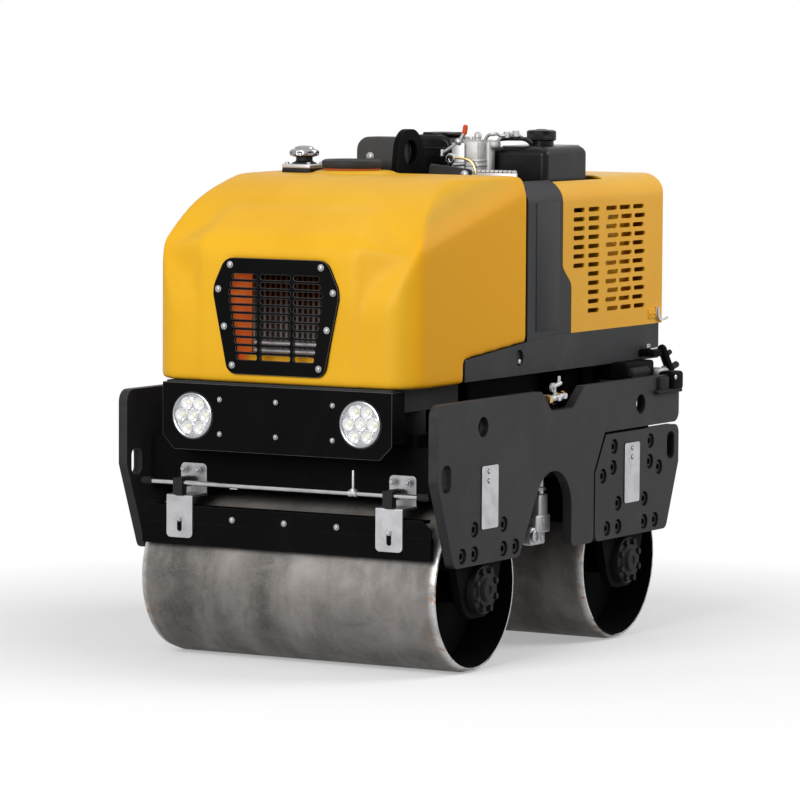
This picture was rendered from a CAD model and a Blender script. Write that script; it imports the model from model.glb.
# %% [markdown]
# # A walk-behind road roller
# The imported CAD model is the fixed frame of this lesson: every node already has its size and its
# place, in metres. What Blender adds is what the eye looks for on the real machine: soft moulded
# edges, lamps with lenses, bolts, stained steel, paint and plastic. Each step says what the piece
# is, how it could be made and why it is made this way.

# %% The frame
import math

import bpy
from mathutils import Matrix, Vector


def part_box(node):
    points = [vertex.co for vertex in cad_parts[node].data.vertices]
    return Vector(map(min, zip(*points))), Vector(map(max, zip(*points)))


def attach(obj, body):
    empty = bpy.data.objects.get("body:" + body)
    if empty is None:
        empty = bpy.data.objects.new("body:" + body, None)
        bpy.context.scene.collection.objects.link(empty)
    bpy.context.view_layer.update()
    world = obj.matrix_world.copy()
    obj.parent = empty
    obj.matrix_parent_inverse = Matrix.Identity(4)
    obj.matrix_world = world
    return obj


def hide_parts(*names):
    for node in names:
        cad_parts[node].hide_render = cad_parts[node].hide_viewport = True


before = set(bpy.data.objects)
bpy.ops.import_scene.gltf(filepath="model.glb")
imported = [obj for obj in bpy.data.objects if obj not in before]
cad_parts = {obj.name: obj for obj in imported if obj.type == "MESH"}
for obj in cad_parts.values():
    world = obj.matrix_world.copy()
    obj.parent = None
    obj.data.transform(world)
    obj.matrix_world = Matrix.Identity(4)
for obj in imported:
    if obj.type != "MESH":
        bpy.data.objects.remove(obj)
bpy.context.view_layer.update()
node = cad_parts

# %% [markdown]
# ## Places
# The machine is easiest to think of from the middle between its two axles, in millimetres. The two
# drums give that middle, so the places below follow the frame if its sizes change.

# %% Places on the machine
MM = 0.001


def low(name):
    return Vector(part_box(name)[0])


def high(name):
    return Vector(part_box(name)[1])


def middle(name):
    return (low(name) + high(name)) / 2


FRONT_AXLE = middle("front_drum")
REAR_AXLE = middle("rear_drum")
MID_Y = (FRONT_AXLE.y + REAR_AXLE.y) / 2
AXLE_Z = FRONT_AXLE.z


def at(x, y, z):
    """A place in millimetres from the ground midway between the axles."""
    return Vector((x * MM, MID_Y + y * MM, z * MM))


print("axles at", FRONT_AXLE, REAR_AXLE)

# %% [markdown]
# ## Shader sums
# A finish is easier to read as a sum than as a web of nodes. One small class wraps a socket, so that
# `1 - mask` or `grain * 0.2` adds the Math node by itself. A second class holds a material and adds
# any other node by its type, its settings and its sockets.

# %% Finishes from expressions
class Value:
    """A socket in a material; arithmetic with it adds Math nodes."""

    def __init__(self, tree, socket):
        self.tree = tree
        self.socket = socket

    def math(self, operation, first, second=0.0):
        step = self.tree.nodes.new("ShaderNodeMath")
        step.operation = operation
        for socket, value in zip(step.inputs, (first, second)):
            if isinstance(value, Value):
                self.tree.links.new(value.socket, socket)
            else:
                socket.default_value = value
        return Value(self.tree, step.outputs[0])

    def __add__(self, other):
        return self.math("ADD", self, other)

    __radd__ = __add__

    def __sub__(self, other):
        return self.math("SUBTRACT", self, other)

    def __rsub__(self, other):
        return self.math("SUBTRACT", other, self)

    def __mul__(self, other):
        return self.math("MULTIPLY", self, other)

    __rmul__ = __mul__

    def __gt__(self, other):
        return self.math("GREATER_THAN", self, other)

    def between(self, start, stop):
        """0 below start, 1 above stop, and a straight climb between."""
        span = self.tree.nodes.new("ShaderNodeMapRange")
        self.tree.links.new(self.socket, span.inputs["Value"])
        span.inputs["From Min"].default_value = start
        span.inputs["From Max"].default_value = stop
        return Value(self.tree, span.outputs["Result"])


class Finish:
    """A material, and the nodes that make its look."""

    def __init__(self, name):
        self.material = bpy.data.materials.new(name)
        self.material.use_nodes = True
        self.tree = self.material.node_tree
        self.shader = self.tree.nodes["Principled BSDF"]
        self.place = self.node("ShaderNodeTexCoord", "Object")

    def plug(self, socket, value):
        if isinstance(value, Value):
            self.tree.links.new(value.socket, socket)
        else:
            socket.default_value = value

    def node(self, kind, output=0, settings=None, **sockets):
        made = self.tree.nodes.new(kind)
        for key, value in (settings or {}).items():
            setattr(made, key, value)
        for key, value in sockets.items():
            self.plug(made.inputs[key], value)
        return Value(self.tree, made.outputs[output])

    def stretched(self, scale):
        return self.node("ShaderNodeMapping", Vector=self.place, Scale=scale)

    def noise(self, scale, detail=4.0, rough=0.55, stretch=None, warp=0.0):
        place = self.stretched(stretch) if stretch else self.place
        return self.node("ShaderNodeTexNoise", "Fac", Vector=place, Scale=scale, Detail=detail,
                         Roughness=rough, Distortion=warp)

    def blend(self, first, second, amount):
        """A colour that goes from first to second as amount goes from 0 to 1."""
        mix = self.tree.nodes.new("ShaderNodeMix")
        mix.data_type = "RGBA"
        for index, value in ((0, amount), (6, first), (7, second)):
            if isinstance(value, tuple):
                value = (*value, 1.0)
            self.plug(mix.inputs[index], value)
        return Value(self.tree, mix.outputs[2])

    def relief(self, height, depth, strength=1.0):
        """A bump from a height between 0 and 1, depth in metres."""
        normal = self.node("ShaderNodeBump", Height=height, Distance=depth, Strength=strength)
        self.plug(self.shader.inputs["Normal"], normal)

    def surface(self, **sockets):
        for key, value in sockets.items():
            self.plug(self.shader.inputs[key.replace("_", " ")], value)


print("finish tools ready")

# %% [markdown]
# ## Paints and plastics
# The cowl is a thick moulded plastic in a warm orange yellow, the hood is sheet steel in the same
# colour. A flat colour would look like a toy, so the plastic gets a slow mottle and a faint ripple
# from the mould, and the paint gets orange peel. On the flanks the colour is a shade deeper. The
# frame is charcoal powder coat: dark, satin and finely grained, with a little grey dust.

# %% Paints and plastics
YELLOW = (0.80, 0.435, 0.020)
YELLOW_SHADE = (0.74, 0.385, 0.016)
YELLOW_DEEP = (0.93, 0.43, 0.009)
CHARCOAL = (0.0235, 0.0235, 0.0255)
SOOT = (0.0030, 0.0030, 0.0033)
DUST = (0.16, 0.15, 0.14)


def flanks(look):
    """0 on the middle of the machine and 1 on its two sides."""
    across = look.node("ShaderNodeSeparateXYZ", "X", Vector=look.place)
    return (across * across).between(0.36 ** 2, 0.382 ** 2)


def moulded_yellow():
    look = Finish("cowl plastic")
    mottle = look.noise(5.0, 3.0)
    grain = look.noise(420.0, 3.0)
    ripple = look.noise(14.0, 2.0)
    body = look.blend(YELLOW, YELLOW_SHADE, mottle.between(0.35, 0.75))
    look.surface(Base_Color=look.blend(body, YELLOW_DEEP, flanks(look)),
                 Roughness=0.38 + 0.12 * mottle + 0.05 * grain, Specular_IOR_Level=0.13)
    look.relief(ripple * 0.85 + grain * 0.15, 0.0012, 0.35)
    return look.material


def yellow_paint():
    look = Finish("hood paint")
    mottle = look.noise(7.0, 3.0)
    peel = look.noise(260.0, 2.0)
    body = look.blend(YELLOW, YELLOW_SHADE, mottle.between(0.4, 0.8))
    look.surface(Base_Color=look.blend(body, YELLOW_DEEP, flanks(look) * 0.62),
                 Roughness=0.34 + 0.10 * mottle, Specular_IOR_Level=0.25)
    look.relief(peel, 0.0002, 0.3)
    return look.material


def powder_coat(name, colour, rough, dust=0.12, sheen=0.14):
    look = Finish(name)
    cloud = look.noise(9.0, 5.0, 0.6)
    grain = look.noise(700.0, 2.0)
    veil = cloud.between(0.5, 0.85) * dust
    worn = tuple(c * share for c, share in zip(colour, (1.65, 1.55, 1.50)))
    body = look.blend(colour, worn, look.noise(3.2, 6.0, 0.65, warp=0.8).between(0.46, 0.70))
    look.surface(Base_Color=look.blend(body, DUST, veil),
                 Roughness=rough + 0.14 * cloud, Specular_IOR_Level=sheen)
    look.relief(grain, 0.0004, 0.45)
    return look.material


def moulded_black(name, colour, rough, sheen=0.18):
    look = Finish(name)
    stipple = look.noise(520.0, 3.0, 0.65)
    cloud = look.noise(12.0, 3.0)
    look.surface(Base_Color=look.blend(colour, DUST, cloud.between(0.55, 0.95) * 0.10),
                 Roughness=rough + 0.12 * stipple, Specular_IOR_Level=sheen)
    look.relief(stipple, 0.0006, 0.5)
    return look.material


COWL = moulded_yellow()
HOOD = yellow_paint()
PLATE = powder_coat("plate coat", CHARCOAL, 0.42)
BEAM = powder_coat("beam coat", (0.026, 0.027, 0.029), 0.46)
BLACK = powder_coat("black coat", SOOT, 0.46, 0.01, 0.025)
BAND = moulded_black("cover plastic", (0.024, 0.025, 0.027), 0.50)
PLASTIC = moulded_black("black plastic", (0.010, 0.010, 0.011), 0.45)
GLOSSY = moulded_black("glossy plastic", (0.004, 0.004, 0.0045), 0.18, 0.15)
EDGE = powder_coat("rubbed edge", (0.060, 0.060, 0.062), 0.30, 0.05, 0.30)
RUBBER = moulded_black("rubber", (0.012, 0.012, 0.012), 0.72)
print("paints:", COWL.name, HOOD.name, PLATE.name)

# %% [markdown]
# ## Metals
# The drums are bare rolled steel. Their look is all in the stains: cloudy brown-grey patches, faint
# bands and mill marks that run round the drum, dark specks, and rims that are rubbed bright with specks
# of rust beside them. What runs round the drum is a noise that is stretched the other way. Zinc straps,
# chrome rods and dull aluminium are shorter recipes of the same kind.

# %% Metals
def rolled_steel():
    look = Finish("drum steel")
    across = look.node("ShaderNodeSeparateXYZ", "X", Vector=look.place)
    cloud = look.noise(4.5, 5.0, 0.6, warp=0.5)
    patches = look.noise(11.0, 6.0, 0.7, warp=1.2)
    bands = look.noise(1.0, 3.0, 0.55, stretch=(9.0, 2.2, 2.2))
    mill = look.noise(1.0, 2.0, 0.7, stretch=(420.0, 14.0, 14.0))
    grain = look.noise(300.0, 3.0, 0.7)
    specks = look.noise(85.0, 5.0, 0.75).between(0.66, 0.74)
    stain = (cloud * 0.28 + patches * 0.27 + bands * 0.45).between(0.39, 0.61)
    rims = (across * across).between(0.416 ** 2, 0.431 ** 2) * patches.between(0.30, 0.55)
    body = look.blend((0.074, 0.067, 0.061), (0.272, 0.252, 0.237), stain)
    body = look.blend(body, (0.36, 0.345, 0.33), grain.between(0.5, 0.9) * 0.55)
    body = look.blend(body, (0.060, 0.052, 0.047), specks * 0.75)
    beside_rims = (across * across).between(0.395 ** 2, 0.425 ** 2)
    rust = look.noise(55.0, 4.0, 0.6).between(0.60, 0.66) * beside_rims
    body = look.blend(body, (0.62, 0.61, 0.60), rims * 0.8)
    look.surface(Base_Color=look.blend(body, (0.36, 0.13, 0.025), rust * 0.8),
                 Metallic=0.22 + 0.16 * stain + 0.40 * rims,
                 Roughness=0.60 - 0.12 * stain - 0.16 * rims + 0.10 * mill)
    look.relief(grain * 0.5 + mill * 0.25 + patches * 0.25, 0.0009, 0.55)
    return look.material


def metal(name, colour, rough, grain_scale=350.0, spread=0.12):
    look = Finish(name)
    grain = look.noise(grain_scale, 3.0, 0.6)
    cloud = look.noise(25.0, 3.0)
    dull = tuple(0.72 * c for c in colour)
    look.surface(Base_Color=look.blend(colour, dull, cloud.between(0.4, 0.8)),
                 Metallic=1.0, Roughness=rough + spread * grain)
    look.relief(grain, 0.0002, 0.3)
    return look.material


STEEL = rolled_steel()
ZINC = metal("zinc steel", (0.42, 0.42, 0.43), 0.40)
CHROME = metal("chrome", (0.60, 0.60, 0.62), 0.10, 120.0, spread=0.08)
ROD = metal("bright rod", (0.46, 0.455, 0.45), 0.16, 120.0, spread=0.10)
ALUMINIUM = metal("plain aluminium", (0.47, 0.47, 0.485), 0.44)
CAST = metal("cast housing", (0.42, 0.42, 0.42), 0.52, 180.0)
BRASS = metal("brass", (0.62, 0.42, 0.16), 0.30)
HEAD = metal("cast head", (0.44, 0.44, 0.435), 0.55, 140.0)
print("metals:", STEEL.name, ZINC.name, CHROME.name)

# %% [markdown]
# ## Softened plates
# Cut and welded steel never has knife edges: a narrow rounded edge catches a line of light, and that
# line is what makes a plate look heavy. The CAD node is the right shape, so a copy of it is merged,
# its flat faces are joined, and a Bevel modifier rounds the edges. Weighted normals keep the wide faces
# flat to the light, and on the black plates the rounded edge gets a finish of its own, because black
# coat rubs pale there first. The copy then stands for the node.

# %% Copying a node with soft edges
def alone(piece):
    """Selects one piece and nothing else."""
    bpy.ops.object.select_all(action="DESELECT")
    piece.select_set(True)
    bpy.context.view_layer.objects.active = piece


def edit(piece, *steps):
    """Runs edit-mode steps on the whole mesh."""
    alone(piece)
    bpy.ops.object.mode_set(mode="EDIT")
    bpy.ops.mesh.select_all(action="SELECT")
    for step in steps:
        step()
    bpy.ops.object.mode_set(mode="OBJECT")


def apply_modifier(piece, kind, **settings):
    alone(piece)
    made = piece.modifiers.new(kind.lower(), kind)
    for key, value in settings.items():
        setattr(made, key, value)
    bpy.ops.object.modifier_apply(modifier=made.name)


def smooth(piece, degrees=35.0):
    alone(piece)
    bpy.ops.object.shade_smooth_by_angle(angle=math.radians(degrees))


def paint(piece, material):
    piece.data.materials.clear()
    piece.data.materials.append(material)


def twin(piece):
    """A copy of a piece with a mesh of its own."""
    copy = piece.copy()
    copy.data = piece.data.copy()
    bpy.context.scene.collection.objects.link(copy)
    return copy


def merged_copy(name):
    """A copy of a CAD node with its loose triangles joined up."""
    copy = twin(node[name])
    copy.parent = None
    for key in list(copy.keys()):
        del copy[key]
    copy.name = name + "_piece"
    edit(copy,
         lambda: bpy.ops.mesh.remove_doubles(threshold=2e-5),
         lambda: bpy.ops.mesh.dissolve_limited(angle_limit=math.radians(0.6)))
    return copy


def fit(piece, body, material, slot, *nodes):
    """Paints a piece, seats it on its body and says which nodes it stands for."""
    if material:
        paint(piece, material)
    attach(piece, body)
    if nodes:
        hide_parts(*nodes)
    return piece


def soft_edges(piece, width, segments=2, angle=32.0, edge=None):
    """Rounds the edges that are sharper than an angle; the round may have a finish of its own."""
    if edge:
        piece.data.materials.append(edge)
    apply_modifier(piece, "BEVEL", width=width * MM, segments=segments, limit_method="ANGLE",
                   angle_limit=math.radians(angle), material=1 if edge else -1)
    smooth(piece)
    apply_modifier(piece, "WEIGHTED_NORMAL", keep_sharp=True)


def soften(name, width, material, slot, body="frame", segments=2, edge=None):
    """A copy of a node with soft edges, which stands for the node."""
    copy = merged_copy(name)
    paint(copy, material)
    soft_edges(copy, width, segments, edge=edge)
    return fit(copy, body, None, slot, name)


SOFT_PLATES = ("side_plate_left", "side_plate_right", "rear_plate_left", "rear_plate_right")
for plate in SOFT_PLATES:
    soften(plate, 2.2, PLATE, "plate_paint")
soften("upper_frame", 1.6, BEAM, "grey_paint")
for part in ("lamp_panel", "lifting_eye", "front_scraper", "rear_scraper", "drawbar_bracket"):
    soften(part, 1.5, BLACK, "black_paint", edge=EDGE)
soften("scraper_straps", 1.2, ZINC, "zinc_steel")
soften("mid_covers", 1.2, BAND, "grey_plastic")
soften("label_plates", 1.3, ALUMINIUM, "aluminium", edge=BLACK)
POST = moulded_black("post paint", (0.034, 0.032, 0.030), 0.42, 0.30)
soften("lifting_post", 8.0, POST, "black_plastic", segments=3)
soften("air_filter", 12.0, GLOSSY, "black_plastic", segments=4)
soften("fuel_tank", 16.0, GLOSSY, "black_plastic", segments=5)
print("softened plates:", len(SOFT_PLATES))

# %% [markdown]
# ## Drums
# A drum is a thick steel shell that wears bright outside and stays painted black inside. The softened
# copy of the node gets both finishes: every face that looks towards the axle takes the second one.

# %% Drums
DRUM_BLACK = powder_coat("drum inside", (0.003, 0.003, 0.003), 0.60, 0.02, 0.04)


def two_tone(drum, axle):
    """Gives the faces that look towards the axle the black finish."""
    drum.data.materials.append(DRUM_BLACK)
    for face in drum.data.polygons:
        arm = face.center - axle
        inward = face.normal.y * arm.y + face.normal.z * arm.z
        face.material_index = 1 if inward < 0 else 0


two_tone(soften("front_drum", 1.5, STEEL, "drum_steel", "front_roll"), FRONT_AXLE)
two_tone(soften("rear_drum", 1.5, STEEL, "drum_steel", "rear_roll"), REAR_AXLE)
print("drums: bright outside, black inside")

# %% [markdown]
# ## The hood
# The hood is bent from sheet, so its rear corners are tight and its slots have round ends, which the
# punch leaves. The copy's rear corner vertices keep their place across and slide back onto a smaller arc.
# Then only the short edges through the sheet at the slots are chosen, and a bevel rounds them.

# %% The hood
HOOD_CORNER, SHEET, NODE_CORNER = 10.0, 5.0, 70.0
PUNCH_TOP, PUNCH_PITCH, PUNCH_HALF, PUNCH_ROUND = 1150.0, 24.4, 6.0, 5.0
CLOSE = 0.01
hood = merged_copy("engine_hood")
hood_side = high("engine_hood").x / MM
hood_tail = (high("engine_hood").y - MID_Y) / MM
for vertex in hood.data.vertices:
    x, y = abs(vertex.co.x) / MM, (vertex.co.y - MID_Y) / MM
    from_x, from_y = x - (hood_side - NODE_CORNER), y - (hood_tail - NODE_CORNER)
    if min(from_x, from_y) < -CLOSE:
        continue
    outside = math.hypot(from_x, from_y) > NODE_CORNER - SHEET / 2
    arc = HOOD_CORNER if outside else HOOD_CORNER - SHEET
    over = max(0.0, x - (hood_side - HOOD_CORNER))
    vertex.co.y = MID_Y + (hood_tail - HOOD_CORNER + math.sqrt(max(0.0, arc * arc - over * over))) * MM

edit(hood, lambda: bpy.ops.mesh.select_mode(type="EDGE"),
     lambda: bpy.ops.mesh.select_all(action="DESELECT"))
rounded_edges = 0
for edge in hood.data.edges:
    one, two = (hood.data.vertices[index].co for index in edge.vertices)
    row = (PUNCH_TOP - one.z / MM) / PUNCH_PITCH
    off = abs(row - round(row)) * PUNCH_PITCH
    through = abs(one.x - two.x) > 0.8 * SHEET * MM and (one - two).yz.length < CLOSE * MM
    edge.select = through and abs(off - PUNCH_HALF) < 10 * CLOSE
    rounded_edges += edge.select
alone(hood)
bpy.ops.object.mode_set(mode="EDIT")
bpy.ops.mesh.bevel(offset=PUNCH_ROUND * MM, segments=4, affect="EDGES")
bpy.ops.object.mode_set(mode="OBJECT")
soft_edges(hood, 1.2)
fit(hood, "frame", HOOD, "yellow_paint", "engine_hood")
print("slot corners rounded:", rounded_edges)

# %% [markdown]
# ## The cowl
# The cowl is one hollow plastic moulding, and such mouldings have no sharp edge anywhere: the plastic
# has to flow round every corner. The CAD solid has the right faces but crisp creases. A voxel remesh
# turns it into an even net, and smoothing that net pulls every crease into a round. The shoulders beside
# the nose are softer still, so a vertex group lets a second pass work there alone.

# %% The cowl
VOXEL, BODY_PASSES, SHOULDER_PASSES = 0.006, 26, 28
cowl = merged_copy("water_tank")
apply_modifier(cowl, "REMESH", mode="VOXEL", voxel_size=VOXEL)
apply_modifier(cowl, "SMOOTH", factor=0.5, iterations=BODY_PASSES)


def ramp(value, start, stop):
    """0 at start, 1 at stop, with soft ends."""
    t = min(1.0, max(0.0, (value - start) / (stop - start)))
    return t * t * (3 - 2 * t)


shoulders = cowl.vertex_groups.new(name="shoulders")
for vertex in cowl.data.vertices:
    x, y, z = abs(vertex.co.x) / MM, (vertex.co.y - MID_Y) / MM, vertex.co.z / MM
    weight = (ramp(x, 120, 190) * ramp(x, 352, 318) * ramp(y, -380, -450)
              * ramp(z, 940, 990) * ramp(z, 1215, 1150))
    if weight > 0:
        shoulders.add([vertex.index], weight, "REPLACE")
apply_modifier(cowl, "SMOOTH", factor=0.5, iterations=SHOULDER_PASSES, vertex_group="shoulders")
cowl.vertex_groups.clear()
smooth(cowl, 60.0)
fit(cowl, "frame", COWL, "yellow_plastic", "water_tank")
print("cowl faces:", len(cowl.data.polygons))

# %% [markdown]
# ## A lathe, a bar and a bent pipe
# Most small pieces on a machine are turned, cut from bar or bent from pipe. A turned piece starts as a
# filled circle that is extruded upwards ring by ring, each ring scaled to its radius. A bar is a cube
# with bevelled edges. A pipe is a curve with a round section. Each one is then laid in its place, and
# the place is fixed in the mesh.

# %% Shop tools
def turned(name, rings, sides=32):
    """A closed round piece on +Z; rings are (radius, height) in millimetres, from the foot up."""
    bpy.ops.object.select_all(action="DESELECT")
    radius, height = rings[0]
    bpy.ops.mesh.primitive_circle_add(vertices=sides, radius=radius * MM, fill_type="NGON",
                                      location=(0, 0, height * MM))
    piece = bpy.context.object
    piece.name = name
    bpy.ops.object.transform_apply(location=True, rotation=True, scale=True)
    bpy.ops.object.mode_set(mode="EDIT")
    bpy.ops.mesh.select_all(action="SELECT")
    for (r0, h0), (r1, h1) in zip(rings, rings[1:]):
        bpy.ops.mesh.extrude_region_move(TRANSFORM_OT_translate={"value": (0, 0, (h1 - h0) * MM)})
        bpy.ops.transform.resize(value=(r1 / r0, r1 / r0, 1.0))
    bpy.ops.mesh.select_all(action="SELECT")
    bpy.ops.mesh.normals_make_consistent(inside=False)
    bpy.ops.object.mode_set(mode="OBJECT")
    smooth(piece)
    return piece


def lay(piece, place, toward=(0, 0, 1)):
    """Points a piece's up towards a direction, moves it to its place and fixes that in its mesh."""
    aim = Vector((0, 0, 1)).rotation_difference(Vector(toward)).to_matrix().to_4x4()
    piece.matrix_world = Matrix.Translation(place) @ aim
    alone(piece)
    bpy.ops.object.transform_apply(location=True, rotation=True, scale=True)
    return piece


def bar(name, lowest, highest, soft=2.0, segments=2):
    """A block between two corners, with rounded edges."""
    bpy.ops.object.select_all(action="DESELECT")
    bpy.ops.mesh.primitive_cube_add(size=1.0, location=(lowest + highest) / 2)
    piece = bpy.context.object
    piece.name = name
    piece.scale = highest - lowest
    bpy.ops.object.transform_apply(location=True, rotation=True, scale=True)
    apply_modifier(piece, "BEVEL", width=soft * MM, segments=segments)
    smooth(piece)
    return piece


def pipe(name, points, radius):
    """A round bar bent along points; its ends are closed."""
    bpy.ops.object.select_all(action="DESELECT")
    bpy.ops.curve.primitive_nurbs_path_add()
    piece = bpy.context.object
    piece.name = name
    piece.data.splines.clear()
    route = piece.data.splines.new("NURBS")
    route.points.add(len(points) - 1)
    for knot, point in zip(route.points, points):
        knot.co = (*point, 1.0)
    route.use_endpoint_u = True
    route.order_u = min(4, len(points))
    route.resolution_u = 6
    piece.data.bevel_depth = radius * MM
    piece.data.bevel_resolution = 3
    piece.data.use_fill_caps = True
    bpy.ops.object.convert(target="MESH")
    piece = bpy.context.object
    edit(piece, lambda: bpy.ops.mesh.remove_doubles(threshold=1e-5),
         lambda: bpy.ops.mesh.normals_make_consistent(inside=False))
    smooth(piece)
    return piece


def joined(name, pieces):
    """Several pieces as one; each part keeps its own finish."""
    bpy.ops.object.select_all(action="DESELECT")
    for piece in pieces:
        piece.select_set(True)
    bpy.context.view_layer.objects.active = pieces[0]
    if len(pieces) > 1:
        bpy.ops.object.join()
    whole = bpy.context.view_layer.objects.active
    whole.name = name
    return whole


def stamped(name, pattern, spots):
    """Copies of a pattern, one for each (place, direction), joined as one piece."""
    made = [lay(twin(pattern), place, toward) for place, toward in spots]
    bpy.data.objects.remove(pattern)
    return joined(name, made)


def pick(piece, test):
    """Opens a piece in edit mode with the faces selected whose middle and normal pass a test."""
    alone(piece)
    bpy.ops.object.mode_set(mode="EDIT")
    bpy.ops.mesh.select_mode(type="FACE")
    bpy.ops.mesh.select_all(action="DESELECT")
    bpy.ops.object.mode_set(mode="OBJECT")
    for face in piece.data.polygons:
        face.select = bool(test(face.center, face.normal))
    bpy.ops.object.mode_set(mode="EDIT")


def in_turn(place, step):
    """True in the first half of every step, in degrees round the upright axis."""
    return math.degrees(math.atan2(place.y, place.x)) % step < step / 2


def coated(piece, material):
    paint(piece, material)
    return piece


def fitting(name, rings, sides, material, place, toward=(0, 0, 1)):
    """A turned piece in its finish, laid in its place."""
    return lay(coated(turned(name, rings, sides), material), place, toward)


FRONT = Vector((0, -1, 0))
BACK = Vector((0, 1, 0))
LEFT = Vector((1, 0, 0))
RIGHT = Vector((-1, 0, 0))
UP = Vector((0, 0, 1))
print("shop tools ready")

# %% [markdown]
# ## Headlamps
# Each work lamp is a shallow bright dish with seven small reflector cups, one in the middle and six
# round it, behind a clear lens. The cups are what make it read as a lamp and not as a white disc, so
# each is a real cup with a pale chip at its bottom.

# %% Headlamps
def lamp_white():
    look = Finish("lamp chip")
    glow = look.noise(90.0, 2.0)
    look.surface(Base_Color=look.blend((0.92, 0.90, 0.78), (0.80, 0.74, 0.45), glow.between(0.3, 0.8)),
                 Roughness=0.25 + 0.1 * glow)
    return look.material


def lamp_glass():
    look = Finish("lamp glass")
    haze = look.noise(60.0, 2.0)
    look.surface(Base_Color=look.blend((0.96, 0.97, 0.98), (0.90, 0.92, 0.93), haze),
                 Roughness=0.02 + 0.05 * haze, Alpha=0.14 + 0.05 * haze)
    look.shader.inputs["IOR"].default_value = 1.45
    return look.material


CHIP = lamp_white()
GLASS = lamp_glass()
DISH = metal("lamp dish", (0.42, 0.43, 0.45), 0.20, 200.0)
CUP = metal("lamp cup", (0.88, 0.88, 0.90), 0.14, 200.0)
lamp_low, lamp_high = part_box("headlamps")
LAMP_R = (lamp_high.z - lamp_low.z) / 2 / MM
LAMP_X = lamp_high.x - LAMP_R * MM
LAMP_Z = (lamp_low.z + lamp_high.z) / 2
LAMP_DEPTH = (lamp_high.y - lamp_low.y) / MM
CUP_RING = 0.60 * LAMP_R
CUP_R = 0.27 * LAMP_R

lamps = []
for side in (-1, 1):
    seat = Vector((side * LAMP_X, lamp_high.y, LAMP_Z))
    lamps.append(fitting("dish", [(LAMP_R, 0), (LAMP_R, LAMP_DEPTH - 4), (LAMP_R - 1.5, LAMP_DEPTH - 1),
                                  (LAMP_R - 4, LAMP_DEPTH), (LAMP_R - 6, LAMP_DEPTH - 1),
                                  (LAMP_R - 7, LAMP_DEPTH - 9), (4, LAMP_DEPTH - 10)],
                         48, DISH, seat, FRONT))
    for step in range(7):
        turn = step * math.pi / 3
        away = 0.0 if step == 6 else CUP_RING
        spot = seat + Vector((math.cos(turn) * away * MM, 0, math.sin(turn) * away * MM))
        lamps.append(fitting("cup", [(CUP_R + 1, LAMP_DEPTH - 11), (CUP_R + 1, LAMP_DEPTH - 4),
                                     (CUP_R, LAMP_DEPTH - 3), (CUP_R * 0.8, LAMP_DEPTH - 6),
                                     (CUP_R * 0.5, LAMP_DEPTH - 9), (CUP_R * 0.4, LAMP_DEPTH - 9.5)],
                             20, CUP, spot, FRONT))
        lamps.append(fitting("chip", [(CUP_R * 0.42, LAMP_DEPTH - 10), (CUP_R * 0.40, LAMP_DEPTH - 7.5),
                                      (CUP_R * 0.2, LAMP_DEPTH - 6.2)], 16, CHIP, spot, FRONT))
    lamps.append(fitting("lens", [(LAMP_R - 6.5, LAMP_DEPTH - 2.4), (LAMP_R - 6.5, LAMP_DEPTH - 1.6),
                                  (LAMP_R - 22, LAMP_DEPTH - 0.4), (6, LAMP_DEPTH - 0.1)],
                         48, GLASS, seat, FRONT))
fit(joined("work_lamps", lamps), "frame", None, "chrome", "headlamps")
print("lamps at", LAMP_X, LAMP_Z)

# %% [markdown]
# ## Bolts
# Bright button-head bolts hold the grille, the lamp panel and the scrapers; they are the small points
# of light along every dark plate. One head is turned with its washer, and copies of it are laid on the
# plates' own faces, so that none floats.

# %% Button heads on the dark plates
def button(radius):
    r = radius
    head = turned("button", [(r * 1.25, -0.5), (r * 1.25, 1.2), (r * 1.18, 1.7), (r, 1.7), (r * 0.97, 3.4),
                             (r * 0.78, 5.2), (r * 0.5, 6.1), (r * 0.42, 6.1), (r * 0.36, 4.2)], 24)
    return coated(head, ZINC)


grille_face = low("front_grille").y
GRILLE_BOLTS = ((128, 774), (151.5, 872), (169, 966), (134, 1028.5))
spots = [(Vector((side * x * MM, grille_face, z * MM)), FRONT) for x, z in GRILLE_BOLTS for side in (-1, 1)]
fit(stamped("grille_bolts", button(7.0), spots), "frame", None, "zinc_steel")

PANEL_BOLTS_X, PANEL_BOLTS_Z = (-167, 0, 167), (684, 596)
panel_face = low("lamp_panel").y
spots = [(Vector((x * MM, panel_face, z * MM)), FRONT) for x in PANEL_BOLTS_X for z in PANEL_BOLTS_Z]
fit(stamped("panel_bolts", button(5.5), spots), "frame", None, "zinc_steel")

SCRAPER_BOLTS_X, SCRAPER_BOLT_Z = (-155, 0, 155), 373
scraper_faces = ((low("front_scraper").y, FRONT), (high("rear_scraper").y, BACK))
spots = [(Vector((x * MM, face, SCRAPER_BOLT_Z * MM)), out)
         for face, out in scraper_faces for x in SCRAPER_BOLTS_X]
fit(stamped("scraper_bolts", button(6.5), spots), "frame", None, "zinc_steel")
print("button heads placed")

# %% [markdown]
# ## Screws in the plates' pockets
# The drum hangers are bolted through the thick side plates from outside. The heads are socket screws
# that sit down in round pockets, so only a dark ring with a darker hole shows. Their places repeat the
# pockets of the CAD plates, measured from each axle.

# %% Socket screws
POCKET_DEPTH, FRONT_SHIFT = 14, 8
POCKET_FLOOR = high("side_plate_left").x - POCKET_DEPTH * MM
LOBE = ((76, 159), (76, 97), (139, 97))
REAR_EXTRA = ((4, 105, 525), (0, 106, 470), (-2, 162, 451))
AXLE_UP = AXLE_Z / MM


def pocket(side, axle, along, height):
    """The floor of a pocket, by its place along the machine from an axle and its height."""
    return Vector((side * POCKET_FLOOR, axle.y + along * MM, height * MM)), Vector((side, 0, 0))


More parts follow.
